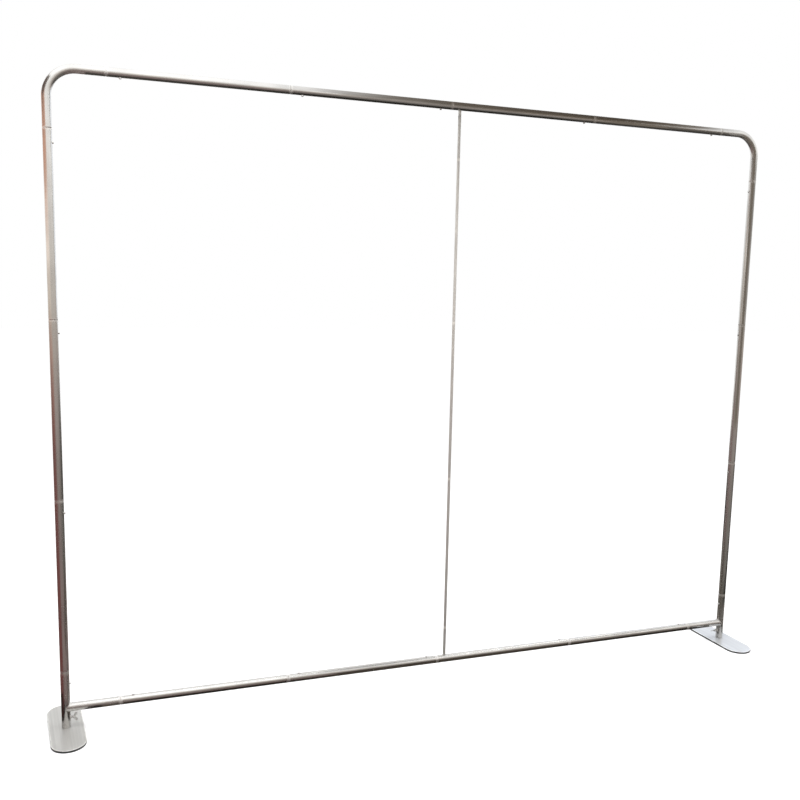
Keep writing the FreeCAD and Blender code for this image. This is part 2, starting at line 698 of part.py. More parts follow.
def make_centre_pole():
    offset = "Sizes.pole_offset"
    for number in range(POLE_TUBES):
        name = f"centre_pole_tube_{number + 1}"
        tube = make_rod(name, "Sizes.pole_diameter / 2", POLE_TUBE_LENGTH, POLE_BORE_R)
        place(tube, offset, z=f"{POLE_FOOT_Z} + {number} * {POLE_TUBE_LENGTH}")
    ferrules = []
    for number in range(1, POLE_TUBES):
        rod = make_rod(f"pole_ferrule_{number}", POLE_FERRULE_R, "Sizes.ferrule_length")
        rod.setExpression("Placement.Base.x", offset)
        middle = f"{POLE_FOOT_Z} + {number} * {POLE_TUBE_LENGTH}"
        rod.setExpression("Placement.Base.z", f"{middle} - Sizes.ferrule_length / 2")
        ferrules.append(rod)
    group = DOC.addObject("Part::Compound", "centre_pole_ferrules")
    group.Label = "centre_pole_ferrules"
    group.Links = ferrules
    SUBPARTS.append(group)
    place(make_pole_plug("centre_pole_top_plug"), offset, z=POLE_HEAD_Z)
    place(make_pole_plug("centre_pole_bottom_plug"), offset, z=POLE_FOOT_Z, rotation=facing(-Z, X))


def check_objects():
    failed = [o.Label for o in DOC.Objects if {"Invalid", "Error"} & set(o.State)]
    broken = [p.Label for p in SUBPARTS if p.Shape.isNull() or not p.Shape.isValid()]
    if failed or broken:
        raise SystemExit(f"failed: {failed}, broken: {broken}")


def write_subparts():
    os.makedirs("parts", exist_ok=True)
    for part in SUBPARTS:
        part.Shape.exportStep(os.path.join("parts", part.Label + ".step"))
        print(part.Label, len(part.Shape.Solids), round(part.Shape.Volume, 3))


fill_sheet()
make_uprights()
make_bars()
make_corners()
make_snap_joints(upright_joints(), "upright_button_springs")
make_snap_joints(bar_joints(), "bar_button_springs")
make_feet()
make_wing_bolts()
make_centre_pole()
DOC.recompute()
check_objects()
write_subparts()
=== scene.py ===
import math

import bpy
from mathutils import Matrix, Vector


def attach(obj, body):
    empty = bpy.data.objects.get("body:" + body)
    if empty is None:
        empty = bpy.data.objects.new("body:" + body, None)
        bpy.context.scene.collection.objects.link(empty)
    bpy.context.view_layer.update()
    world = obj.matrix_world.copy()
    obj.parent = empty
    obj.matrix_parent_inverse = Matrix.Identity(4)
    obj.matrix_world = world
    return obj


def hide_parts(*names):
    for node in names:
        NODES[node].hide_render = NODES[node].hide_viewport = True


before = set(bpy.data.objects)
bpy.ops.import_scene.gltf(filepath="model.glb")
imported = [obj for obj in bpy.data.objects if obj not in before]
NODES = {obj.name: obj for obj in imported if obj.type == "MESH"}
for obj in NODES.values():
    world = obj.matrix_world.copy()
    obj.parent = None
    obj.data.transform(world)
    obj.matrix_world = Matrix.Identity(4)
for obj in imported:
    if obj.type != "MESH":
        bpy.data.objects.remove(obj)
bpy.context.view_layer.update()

# Camera, measured in the photograph: place in metres, angles in degrees

CAMERA_PLACE = (-1.3126, -3.2532, 1.6862)
CAMERA_AZIMUTH = 19.004
CAMERA_ELEVATION = -7.483
CAMERA_ROLL = 1.218
CAMERA_FOCAL_PX = 841.4
IMAGE_PX = 800
SENSOR_MM = 36


def make_camera():
    azimuth, elevation, roll = (math.radians(a) for a in (CAMERA_AZIMUTH, CAMERA_ELEVATION, CAMERA_ROLL))
    ahead = Vector((math.sin(azimuth), math.cos(azimuth), 0)) * math.cos(elevation)
    ahead.z = math.sin(elevation)
    level = ahead.cross(Vector((0, 0, 1))).normalized()
    steep = level.cross(ahead)
    right = level * math.cos(roll) + steep * math.sin(roll)
    up = steep * math.cos(roll) - level * math.sin(roll)
    data = bpy.data.cameras.new("camera")
    data.sensor_width = SENSOR_MM
    data.lens = SENSOR_MM * CAMERA_FOCAL_PX / IMAGE_PX
    camera = bpy.data.objects.new("camera", data)
    turned = Matrix((right, up, -ahead)).transposed().to_4x4()
    camera.matrix_world = Matrix.Translation(CAMERA_PLACE) @ turned
    bpy.context.scene.collection.objects.link(camera)
    bpy.context.scene.camera = camera


# Node helpers: a noise's factor mostly lies from low to high, and a mix node's colour sockets go by number

NOISE_LOW, NOISE_HIGH = 0.3, 0.7
MIX_FIRST, MIX_SECOND, MIX_RESULT = 6, 7, 2


class Shade:
    """A material under construction: a Principled shader and short ways to add nodes."""

    def __init__(self, name, colour, metallic=0.0, roughness=0.5):
        self.material = bpy.data.materials.new(name)
        self.material.use_nodes = True
        self.tree = self.material.node_tree
        self.shader = self.tree.nodes["Principled BSDF"]
        self.shader.inputs["Base Color"].default_value = (*colour, 1)
        self.shader.inputs["Metallic"].default_value = metallic
        self.shader.inputs["Roughness"].default_value = roughness

    def node(self, kind, **settings):
        made = self.tree.nodes.new(kind)
        for key, what in settings.items():
            setattr(made, key, what)
        return made

    def link(self, out, into):
        self.tree.links.new(out, into)

    def place(self, scale=(1, 1, 1)):
        """Object coordinates, scaled."""
        return self.vector("MULTIPLY", self.node("ShaderNodeTexCoord").outputs["Object"], scale)

    def noise(self, where, scale, detail=3.0, rough=0.5):
        made = self.node("ShaderNodeTexNoise")
        made.inputs["Scale"].default_value = scale
        made.inputs["Detail"].default_value = detail
        made.inputs["Roughness"].default_value = rough
        self.link(where, made.inputs["Vector"])
        return made.outputs["Fac"]

    def spread(self, factor, low, high, to_low=0.0, to_high=1.0):
        """Maps low..high of a factor to to_low..to_high."""
        made = self.node("ShaderNodeMapRange")
        for key, what in zip(("From Min", "From Max", "To Min", "To Max"), (low, high, to_low, to_high)):
            made.inputs[key].default_value = what
        self.link(factor, made.inputs["Value"])
        return made.outputs["Result"]

    def vary(self, factor, to_low, to_high):
        """Maps the usual range of a noise to to_low..to_high."""
        return self.spread(factor, NOISE_LOW, NOISE_HIGH, to_low, to_high)

    def blend(self, factor, first, second):
        """Mixes two colours, each a socket or three numbers."""
        made = self.node("ShaderNodeMix", data_type="RGBA")
        self.link(factor, made.inputs["Factor"])
        for key, what in ((MIX_FIRST, first), (MIX_SECOND, second)):
            if isinstance(what, tuple):
                made.inputs[key].default_value = (*what, 1)
            else:
                self.link(what, made.inputs[key])
        return made.outputs[MIX_RESULT]

    def math(self, operation, *parts):
        made = self.node("ShaderNodeMath", operation=operation)
        for key, what in enumerate(parts):
            if isinstance(what, float):
                made.inputs[key].default_value = what
            else:
                self.link(what, made.inputs[key])
        return made.outputs[0]

    def vector(self, operation, first, second=None):
        made = self.node("ShaderNodeVectorMath", operation=operation)
        for key, what in enumerate((first, second)):
            if isinstance(what, tuple):
                made.inputs[key].default_value = what
            elif what is not None:
                self.link(what, made.inputs[key])
        return made.outputs["Value" if operation == "LENGTH" else "Vector"]

    def split(self, what):
        made = self.node("ShaderNodeSeparateXYZ")
        self.link(what, made.inputs[0])
        return [made.outputs[axis] for axis in "XYZ"]

    def join(self, *parts):
        made = self.node("ShaderNodeCombineXYZ")
        for key, what in enumerate(parts):
            if isinstance(what, float):
                made.inputs[key].default_value = what
            else:
                self.link(what, made.inputs[key])
        return made.outputs[0]

    def brush(self, along, amount):
        """Spreads the gloss across the brushing, which runs along a direction in object space."""
        self.shader.inputs["Anisotropic"].default_value = amount
        spaces = {"convert_from": "OBJECT", "convert_to": "WORLD"}
        turned = self.node("ShaderNodeVectorTransform", vector_type="VECTOR", **spaces)
        if isinstance(along, tuple):
            turned.inputs[0].default_value = along
        else:
            self.link(along, turned.inputs[0])
        normal = self.node("ShaderNodeNewGeometry").outputs["Normal"]
        across = self.vector("CROSS_PRODUCT", turned.outputs[0], normal)
        self.link(across, self.shader.inputs["Tangent"])

    def bump(self, height, distance):
        made = self.node("ShaderNodeBump")
        made.inputs["Distance"].default_value = distance
        made.inputs["Strength"].default_value = 1.0
        self.link(height, made.inputs["Height"])
        self.link(made.outputs["Normal"], self.shader.inputs["Normal"])

    def grained(self, grain, smoothest, roughest, tone, depth):
        """A grain that varies the roughness and stands out by a depth, and a colour."""
        self.link(self.vary(grain, smoothest, roughest), self.shader.inputs["Roughness"])
        self.link(tone, self.shader.inputs["Base Color"])
        self.bump(grain, depth)
        return self.material


def scaled(colour, share):
    """A colour times a share, with no part above 1."""
    return tuple(min(c * share, 1.0) for c in colour)


# Places and sizes of the frame, in metres

UPRIGHT_X = 1.508
BAR_Z = 0.086
TOP_BAR_Z = 2.422
BEND_RADIUS = 0.1
TUBE_R = 0.016
UPRIGHT_JOINTS = (0.228, 0.890, 1.552, 2.214)
BAR_JOINTS = (0.0, 0.6545, 1.309)
PLATE_STRAIGHT_HALF = 0.12125
PLATE_ROUND_R = 0.06275
PLATE_TURNS = {"left": math.radians(6.7), "right": math.radians(2.4)}
SIDES = (("left", -1), ("right", 1))

# Finishes, with distances in metres

ALUMINIUM = (0.70, 0.69, 0.67)
POLE_ALUMINIUM = (0.80, 0.785, 0.75)
BLACK_RUBBER = (0.022, 0.022, 0.023)
SHADED_EDGE = (0.10, 0.098, 0.095)
# One steel for both plates, painted as shaded and lit copies: the left darker and warmer, the right paler
# and bluer
PLATE_SHADED_AND_LIT_COLOURS = {"left": (0.57, 0.565, 0.545), "right": (0.68, 0.70, 0.725)}
LINES_PER_METRE = 1500.0
LINES_ALONG = 1.5
CORNER_SPREAD = 0.6
# The joint lines' mark, partly rubbing and partly a painted highlight, fades out between these distances
# from a joint
RUBBED_AND_HIGHLIT_FROM = 0.0025
RUBBED_AND_HIGHLIT_TO = 0.009
RUBBED_AND_HIGHLIT_UNEVEN = 0.002
RIM_WIDTH = 0.005
RIM_FULL = 0.001
RIM_UNEVEN = 0.0015


def rubbed_and_highlit_ends(shade):
    """1 at a joint line, fading unevenly to 0: where plugging in has rubbed the tube's mouth, and where a
    painted highlight stands for the joint catching the light.
    """
    x, _, z = shade.split(shade.place())
    out = shade.math("ABSOLUTE", x)
    away = None
    for coordinate, joints in ((z, UPRIGHT_JOINTS), (out, BAR_JOINTS)):
        for joint in joints:
            here = shade.math("ABSOLUTE", shade.math("SUBTRACT", coordinate, joint))
            away = shade.math("MINIMUM", away, here) if away else here
    uneven = shade.vary(shade.noise(shade.place(), 160.0, 4.0), -RUBBED_AND_HIGHLIT_UNEVEN, RUBBED_AND_HIGHLIT_UNEVEN)
    return shade.spread(shade.math("ADD", away, uneven), RUBBED_AND_HIGHLIT_FROM, RUBBED_AND_HIGHLIT_TO, 1.0, 0.0)


def drawn_surface(shade, lines, colour, dullness):
    """Fine drawing lines, cloudy handling marks, a few duller spots, and tube ends that are rubbed and carry
    a painted highlight.
    """
    clouds = shade.noise(shade.place(), 9.0, 4.0)
    spots = shade.noise(shade.place(), 70.0, 5.0, 0.6)
    ends = rubbed_and_highlit_ends(shade)
    dull = shade.spread(clouds, 0.35, 0.7, dullness - 0.05, dullness + 0.05)
    fine = shade.vary(lines, -0.025, 0.025)
    worn = shade.spread(spots, 0.6, 0.75, 0.0, 0.08)
    rough = shade.math("ADD", shade.math("ADD", dull, fine), worn)
    rough = shade.math("ADD", rough, shade.math("MULTIPLY", ends, 0.28))
    shade.link(rough, shade.shader.inputs["Roughness"])
    deep = scaled(colour, 0.92)
    pale = scaled(colour, 1.04)
    tone = shade.blend(shade.spread(clouds, 0.4, 0.65), pale, deep)
    tone = shade.blend(shade.spread(lines, 0.55, 0.8, 0.0, 0.5), tone, deep)
    # Paler at the joint lines: partly rubbing, partly a painted highlight of the joint catching the light
    tone = shade.blend(ends, tone, scaled(colour, 1.25))
    shade.link(tone, shade.shader.inputs["Base Color"])
    shade.bump(lines, 0.000012)


def tube_finish(name, along, colour=ALUMINIUM, dullness=0.24, metallic=1.0, spread=0.65):
    """A straight drawn tube: along is the direction of its lines."""
    shade = Shade(name, colour, metallic, dullness)
    shade.brush(along, spread)
    grain = tuple(LINES_ALONG if part else LINES_PER_METRE for part in along)
    drawn_surface(shade, shade.noise(shade.place(grain), 1.0, 2.0), colour, dullness)
    return shade.material


def bend_finish(name, dullness):
    """The drawing lines follow the corner's bend, whose centre is one bend radius in from both axes."""
    shade = Shade(name, ALUMINIUM, 1.0, dullness)
    x, y, z = shade.split(shade.place())
    side = shade.math("SIGN", x)
    beyond = shade.math("SUBTRACT", shade.math("ABSOLUTE", x), UPRIGHT_X - BEND_RADIUS)
    out = shade.math("MAXIMUM", beyond, 0.0)
    up = shade.math("MAXIMUM", shade.math("SUBTRACT", z, TOP_BAR_Z - BEND_RADIUS), 0.0)
    from_centre = shade.vector("LENGTH", shade.join(out, 0.0, up))
    lines = shade.noise(shade.join(from_centre, y, 0.0), LINES_PER_METRE, 2.0)
    down = shade.math("MULTIPLY", side, shade.math("MULTIPLY", out, -1.0))
    shade.brush(shade.join(up, 0.0, down), CORNER_SPREAD)
    drawn_surface(shade, lines, ALUMINIUM, dullness)
    return shade.material


def tee_finish(name, dullness):
    """The lines run up the leg, and along the arm on the arm's side of the saddle."""
    shade = Shade(name, ALUMINIUM, 1.0, dullness)
    x, y, z = shade.split(shade.place())
    inward = shade.math("SUBTRACT", UPRIGHT_X, shade.math("ABSOLUTE", x))
    aside = shade.math("ABSOLUTE", shade.math("SUBTRACT", z, BAR_Z))
    on_arm = shade.math("GREATER_THAN", inward, aside)
    on_leg = shade.math("SUBTRACT", 1.0, on_arm)
    across = shade.math("ADD", shade.math("MULTIPLY", on_arm, z), shade.math("MULTIPLY", on_leg, x))
    lines = shade.noise(shade.join(across, y, 0.0), LINES_PER_METRE, 2.0)
    shade.brush(shade.join(on_arm, 0.0, on_leg), CORNER_SPREAD)
    drawn_surface(shade, lines, ALUMINIUM, dullness)
    return shade.material


def plate_place(shade, centre_x, turn):
    """Distances across and along a plate from its centre, and the height."""
    x, y, z = shade.split(shade.place())
    x = shade.math("SUBTRACT", x, centre_x)
    cos, sin = math.cos(turn), math.sin(turn)
    across = shade.math("ADD", shade.math("MULTIPLY", x, cos), shade.math("MULTIPLY", y, sin))
    along = shade.math("SUBTRACT", shade.math("MULTIPLY", y, cos), shade.math("MULTIPLY", x, sin))
    return across, along, z


def painted_rim_highlight(shade, across, along):
    """A painted highlight of the rounded top edge: 1 on the plate's outline, fading unevenly to 0 about a
    rim's width in.
    """
    beyond = shade.math("SUBTRACT", shade.math("ABSOLUTE", along), PLATE_STRAIGHT_HALF)
    reach = shade.vector("LENGTH", shade.join(across, shade.math("MAXIMUM", beyond, 0.0), 0.0))
    uneven = shade.vary(shade.noise(shade.place(), 90.0, 4.0), -RIM_UNEVEN, RIM_UNEVEN)
    reach = shade.math("ADD", reach, uneven)
    return shade.spread(reach, PLATE_ROUND_R - RIM_WIDTH, PLATE_ROUND_R - RIM_FULL)


def plate_finish(name, centre_x, turn, colour):
    """Rolled steel: grain and streaks along the plate, a painted highlight along the rim, and painted shade
    on the cut edge.
    """
    shade = Shade(name, colour, metallic=0.4, roughness=0.38)
    shade.brush((-math.sin(turn), math.cos(turn), 0), 0.5)
    across, along, height = plate_place(shade, centre_x, turn)
    grain = shade.join(across, along, height)
    lines = shade.noise(shade.vector("MULTIPLY", grain, (900, 6, 900)), 1.0, 2.0)
    streaks = shade.noise(shade.vector("MULTIPLY", grain, (110, 1.5, 110)), 1.0, 3.0)
    clouds = shade.noise(shade.place(), 12.0, 3.0)
    rim = painted_rim_highlight(shade, across, along)
    dull = shade.spread(clouds, 0.3, 0.75, 0.33, 0.45)
    fine = shade.vary(lines, -0.03, 0.03)
    rubbed = shade.spread(streaks, 0.35, 0.7, -0.04, 0.04)
    rough = shade.math("ADD", shade.math("ADD", dull, fine), rubbed)
    rough = shade.math("SUBTRACT", rough, shade.math("MULTIPLY", rim, 0.08))
    shade.link(rough, shade.shader.inputs["Roughness"])
    deep = scaled(colour, 0.9)
    tone = shade.blend(shade.spread(streaks, 0.38, 0.62), colour, deep)
    tone = shade.blend(shade.spread(clouds, 0.45, 0.75, 0.0, 0.4), tone, deep)
    # Paler towards the outline: a painted highlight of the rounded top edge
    tone = shade.blend(rim, tone, scaled(colour, 1.45))
    # The sides, where the normal lies level, are painted dark: painted shade standing in for the dark floor
    # they reflect and their contact shadow
    upward = shade.split(shade.node("ShaderNodeTexCoord").outputs["Normal"])[2]
    tone = shade.blend(shade.spread(shade.math("ABSOLUTE", upward), 0.15, 0.45), SHADED_EDGE, tone)
    shade.link(tone, shade.shader.inputs["Base Color"])
    shade.bump(lines, 0.00001)
    return shade.material


def rubber_finish():
    shade = Shade("black_rubber", BLACK_RUBBER, roughness=0.75)
    grit = shade.noise(shade.place(), 900.0, 2.0)
    dust = shade.noise(shade.place(), 40.0, 4.0)
    tone = shade.blend(shade.spread(dust, 0.5, 0.8), BLACK_RUBBER, (0.06, 0.058, 0.055))
    return shade.grained(grit, 0.6, 0.9, tone, 0.0003)


def zinc_finish():
    shade = Shade("zinc_plate", (0.72, 0.72, 0.72), metallic=1.0, roughness=0.32)
    cast = shade.noise(shade.place(), 900.0, 3.0)
    clouds = shade.noise(shade.place(), 150.0, 3.0)
    tone = shade.blend(shade.spread(clouds, 0.4, 0.65), (0.74, 0.745, 0.75), (0.70, 0.69, 0.66))
    return shade.grained(cast, 0.25, 0.42, tone, 0.00003)


def turned_finish():
    """Turned aluminium and steel: fine rings round the bolt's axis, which runs along X."""
    shade = Shade("turned_metal", (0.70, 0.69, 0.68), metallic=1.0, roughness=0.28)
    rings = shade.noise(shade.place((4000, 60, 60)), 1.0, 2.0)
    tone = shade.blend(rings, (0.66, 0.65, 0.64), (0.74, 0.73, 0.72))
    return shade.grained(rings, 0.22, 0.36, tone, 0.00001)


def bead_finish():
    """Weld metal: pale, frosted, with heat tint in places."""
    shade = Shade("weld_metal", (0.76, 0.75, 0.73), metallic=1.0, roughness=0.42)
    frost = shade.noise(shade.place(), 1800.0, 3.0)
    tint = shade.noise(shade.place(), 120.0, 3.0)
    tone = shade.blend(shade.spread(tint, 0.45, 0.7), (0.78, 0.77, 0.75), (0.66, 0.63, 0.58))
    return shade.grained(frost, 0.34, 0.52, tone, 0.00003)


def button_finish():
    shade = Shade("button_steel", (0.84, 0.84, 0.83), metallic=1.0, roughness=0.4)
    rubbed = shade.noise(shade.place(), 700.0, 3.0)
    tone = shade.blend(rubbed, (0.80, 0.80, 0.79), (0.90, 0.90, 0.89))
    return shade.grained(rubbed, 0.32, 0.5, tone, 0.00001)


def make_finishes():
    up, aside = (0, 0, 1), (1, 0, 0)
    finishes = {
        "upright": tube_finish("aluminium_upright", up),
        "bar": tube_finish("aluminium_bar", aside, dullness=0.2, spread=0.5),
        "bend": bend_finish("aluminium_bend", dullness=0.24),
        "tee": tee_finish("aluminium_tee", dullness=0.25),
        "pole": tube_finish("aluminium_pole", up, POLE_ALUMINIUM, dullness=0.5, metallic=0.8, spread=0.4),
        "pad": rubber_finish(),
        "zinc": zinc_finish(),
        "turned": turned_finish(),
        "bead": bead_finish(),
        "spring": button_finish(),
    }
    for side, sign in SIDES:
        plate = side + "_plate"
        turn, colour = PLATE_TURNS[side], PLATE_SHADED_AND_LIT_COLOURS[side]
        finishes[plate] = plate_finish("steel_" + plate, sign * UPRIGHT_X, turn, colour)
    return finishes


FINISH_OF_WORD = (
    ("button", "spring"), ("bend", "bend"), ("tee", "tee"), ("pad", "pad"), ("pole", "pole"),
    ("upright", "upright"), ("bar", "bar"), ("boss", "turned"), ("spigot", "turned"),
)


def finish_of(name):
    """Which finish a CAD node takes: a plate its own, then by the first word that fits, else zinc."""
    words = name.split("_")
    if "plate" in words:
        return words[0] + "_plate"
    for word, finish in FINISH_OF_WORD:
        if word in words and "screw" not in words:
            return finish
    return "zinc"


def dress_nodes(finishes):
    for name, node in NODES.items():
        node.data.materials.clear()
        node.data.materials.append(finishes[finish_of(name)])


# Pieces of the scene


def add_piece(name, mesh_points, faces, material, body, sharp):
    mesh = bpy.data.meshes.new(name)
    mesh.from_pydata(mesh_points, [], faces)
    mesh.validate()
    mesh.shade_smooth()
    mesh.set_sharp_from_angle(angle=math.radians(sharp))
    mesh.materials.append(material)
    piece = bpy.data.objects.new(name, mesh)
    bpy.context.scene.collection.objects.link(piece)
    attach(piece, body)
    return piece


def ring_faces(rings, around, closed=False):
    """Quads between neighbouring rings of points."""
    faces = []
    for ring in range(rings if closed else rings - 1):
        low = ring * around
        high = (ring + 1) % rings * around
        for step in range(around):
            side = (step + 1) % around
            faces.append((low + step, low + side, high + side, high + step))
    return faces


def end_caps(rings, around):
    """Faces that close the first and the last ring of points."""
    last = (rings - 1) * around
    return [tuple(reversed(range(around))), tuple(range(last, last + around))]


# Weld beads, whose ripples are counted in steps along the bead

BOLT_Z = 0.046
BOSS_R = 0.007
BEAD_STEPS = 400
BEAD_SIDES = 10
BEAD_R = 0.0009
SADDLE_EXTRA_R = 0.0009
SADDLE_LEAST_OUT = 0.0025
SADDLE_RIPPLE = 0.00006
SADDLE_RIPPLE_STEPS = 6
BOSS_RIPPLE = 0.00005
BOSS_RIPPLE_STEPS = 8


def weld_bead(name, line, widths, material):
    """A closed rippled bead along a line of points, each with its own radius."""
    count = len(line)
    points = []
    across = None
    for number, centre in enumerate(line):
        ahead = (line[(number + 1) % count] - line[number - 1]).normalized()
        across = across if across else ahead.orthogonal()
        across = (across - ahead * across.dot(ahead)).normalized()
        other = ahead.cross(across)
        for step in range(BEAD_SIDES):
            turn = math.tau * step / BEAD_SIDES
            points.append(centre + (across * math.cos(turn) + other * math.sin(turn)) * widths[number])
    faces = ring_faces(count, BEAD_SIDES, closed=True)
    return add_piece(name, points, faces, material, "frame", sharp=80)


def make_weld_beads(material):
    """Beads round each tee's saddle and round each boss."""
    for side, sign in SIDES:
        axis = Vector((sign * UPRIGHT_X, 0, 0))
        saddle, saddle_widths, ring, ring_widths = [], [], [], []
        for number in range(BEAD_STEPS):
            turn = math.tau * number / BEAD_STEPS
            ripple = math.sin(math.tau * number / SADDLE_RIPPLE_STEPS)
            y, z = TUBE_R * math.cos(turn), TUBE_R * math.sin(turn)
            inward = math.hypot(z, SADDLE_LEAST_OUT)
            saddle.append(axis + Vector((-sign * inward, y, BAR_Z + z)))
            saddle_widths.append(BEAD_R + SADDLE_EXTRA_R * abs(math.sin(turn)) + SADDLE_RIPPLE * ripple)
            ripple = math.sin(math.tau * number / BOSS_RIPPLE_STEPS)
            y, z = BOSS_R * math.cos(turn), BOSS_R * math.sin(turn)
            inward = math.sqrt(TUBE_R ** 2 - y ** 2)
            ring.append(axis + Vector((-sign * inward, y, BOLT_Z + z)))
            ring_widths.append(BEAD_R + BOSS_RIPPLE * ripple)
        weld_bead(side + "_saddle_weld", saddle, saddle_widths, material)
        weld_bead(side + "_boss_weld", ring, ring_widths, material)


# Wing bolts: distances along the bolt's axis are from the upright's axis

BOLT_TIP = 0.0147
THREAD_R = 0.00395
THREAD_DEPTH = 0.00065
THREAD_PITCH = 0.00125
THREAD_SIDES = 24
THREAD_STEPS_PER_PITCH = 8
LEAD_IN = 0.0008
SHANK_OVERLAP = 0.0005
HUB_START = 0.024
HUB_END = 0.033
HUB_FOOT = ((0.0044, 0.0), (0.0052, 0.0002), (0.0055, 0.0008))
HUB_TOP_R = 0.0045
HUB_CORNER = 0.0012
HUB_CORNER_STEPS = 6
HUB_FLAT_R = 0.0018
HUB_SIDES = 40
WING_ANGLE = math.radians(30)
WING_REACH = 0.013
WING_HALF_WIDTH = 0.005
WING_HALF_THICKNESS = 0.0015
WING_RIM = 0.0013
WING_ROOT_SHARE = 0.72
WING_ROUND_STEPS = 12
WING_LAYERS = 8
WING_TURNS = {"left": math.radians(8), "right": math.radians(117)}


def threaded_shank():
    """The thread, with a lead-in at its tip: points have two places across the axis and one along it."""
    length = HUB_START + SHANK_OVERLAP - BOLT_TIP
    rings = int(length / THREAD_PITCH * THREAD_STEPS_PER_PITCH)
    points = []
    for ring in range(rings + 1):
        along = length * ring / rings
        for step in range(THREAD_SIDES):
            turn = math.tau * step / THREAD_SIDES
            phase = (along / THREAD_PITCH - step / THREAD_SIDES) % 1
            depth = THREAD_DEPTH * (1 - abs(2 * phase - 1))
            out = THREAD_R - max(depth, LEAD_IN - along)
            points.append((out * math.cos(turn), out * math.sin(turn), BOLT_TIP + along))
    return points, ring_faces(rings + 1, THREAD_SIDES) + end_caps(rings + 1, THREAD_SIDES)


def hub():
    """The round hub: a stepped foot and a rounded top edge, turned about the bolt's axis."""
    profile = [(out, HUB_START + along) for out, along in HUB_FOOT]
    for step in range(HUB_CORNER_STEPS + 1):
        turn = math.pi / 2 * step / HUB_CORNER_STEPS
        out = HUB_TOP_R - HUB_CORNER + HUB_CORNER * math.cos(turn)
        profile.append((out, HUB_END - HUB_CORNER + HUB_CORNER * math.sin(turn)))
    profile.append((HUB_FLAT_R, HUB_END))
    points = []
    for out, along in profile:
        for step in range(HUB_SIDES):
            turn = math.tau * step / HUB_SIDES
            points.append((out * math.cos(turn), out * math.sin(turn), along))
    return points, ring_faces(len(profile), HUB_SIDES) + end_caps(len(profile), HUB_SIDES)


def wing(side):
    """One cast ear: a round-ended outline whose rim is rounded over."""
    start = 0.5 * (HUB_START + HUB_END)
    length = WING_REACH / math.cos(WING_ANGLE)
    points = []
    for layer in range(WING_LAYERS + 1):
        lean = math.pi * (layer / WING_LAYERS - 0.5)
        half = WING_HALF_WIDTH - WING_RIM * (1 - math.cos(lean))
        thick = WING_HALF_THICKNESS * math.sin(lean)
        outline = [(0.0, -half * WING_ROOT_SHARE)]
        for step in range(WING_ROUND_STEPS + 1):
            turn = math.pi * (step / WING_ROUND_STEPS - 0.5)
            outline.append((length + half * math.cos(turn), half * math.sin(turn)))
        outline.append((0.0, half * WING_ROOT_SHARE))
        for out, up in outline:
            across = out * math.cos(WING_ANGLE) - up * math.sin(WING_ANGLE)
            along = start + out * math.sin(WING_ANGLE) + up * math.cos(WING_ANGLE)
            points.append((side * across, thick, along))
    around = WING_ROUND_STEPS + 3
    faces = ring_faces(WING_LAYERS + 1, around) + end_caps(WING_LAYERS + 1, around)
    if side > 0:
        faces = [tuple(reversed(face)) for face in faces]
    return points, faces


def make_wing_bolts(material):
    for side, sign in SIDES:
        inward = Vector((-sign, 0, 0))
        spread = Matrix.Rotation(WING_TURNS[side], 3, inward) @ Vector((0, 0, 1))
        normal = inward.cross(spread)
        centre = Vector((sign * UPRIGHT_X, 0, BOLT_Z))
        points, faces = [], []
        for more_points, more_faces in (threaded_shank(), hub(), wing(1), wing(-1)):
            first = len(points)
            points += [centre + spread * x + normal * y + inward * z for x, y, z in more_points]
            faces += [tuple(first + corner for corner in face) for face in more_faces]
        body = side + "_wing_bolt"
        bolt = add_piece(body + "_cast", points, faces, material, body, sharp=40)
        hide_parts(side + "_wing_bolt")


# Studio

WORLD_LIGHT = 0.75
WORLD_SEEN = 1.0
FLOOR_HALF = 30
FLOOR_COLOUR = (0.62, 0.62, 0.62)
FLOOR_GLOW = 0.57
BRIGHTEST_STOP = 2.0


def seen_directly(tree):
    """1 for camera, glossy and transmission rays, else 0."""
    path = tree.nodes.new("ShaderNodeLightPath")
    total = path.outputs["Is Camera Ray"]
    for ray in ("Is Glossy Ray", "Is Transmission Ray"):
        either = tree.nodes.new("ShaderNodeMath")
        either.operation = "MAXIMUM"
        tree.links.new(total, either.inputs[0])
        tree.links.new(path.outputs[ray], either.inputs[1])
        total = either.outputs[0]
    return total


def make_world():
    world = bpy.data.worlds.new("studio")
    bpy.context.scene.world = world
    world.use_nodes = True
    tree = world.node_tree
    background = tree.nodes["Background"]
    background.inputs["Color"].default_value = (1, 1, 1, 1)
    strength = tree.nodes.new("ShaderNodeMapRange")
    strength.inputs["To Min"].default_value = WORLD_LIGHT
    strength.inputs["To Max"].default_value = WORLD_SEEN
    tree.links.new(seen_directly(tree), strength.inputs["Value"])
    tree.links.new(strength.outputs["Result"], background.inputs["Strength"])


def flat_mesh(name, corners):
    mesh = bpy.data.meshes.new(name)
    mesh.from_pydata(corners, [], [tuple(range(len(corners)))])
    made = bpy.data.objects.new(name, mesh)
    bpy.context.scene.collection.objects.link(made)
    return made


def make_floor():
    signs = ((-1, -1), (1, -1), (1, 1), (-1, 1))
    floor = flat_mesh("floor", [(x * FLOOR_HALF, y * FLOOR_HALF, 0) for x, y in signs])
    material = bpy.data.materials.new("pale_floor")
    material.use_nodes = True
    tree = material.node_tree
    shader = tree.nodes["Principled BSDF"]
    shader.inputs["Base Color"].default_value = (*FLOOR_COLOUR, 1)
    shader.inputs["Roughness"].default_value = 1.0
    shader.inputs["Specular IOR Level"].default_value = 0.0
    shader.inputs["Emission Color"].default_value = (1, 1, 1, 1)
    lift = tree.nodes.new("ShaderNodeMath")
    lift.operation = "MULTIPLY"
    lift.inputs[1].default_value = FLOOR_GLOW
    tree.links.new(seen_directly(tree), lift.inputs[0])
    tree.links.new(lift.outputs[0], shader.inputs["Emission Strength"])
    floor.data.materials.append(material)


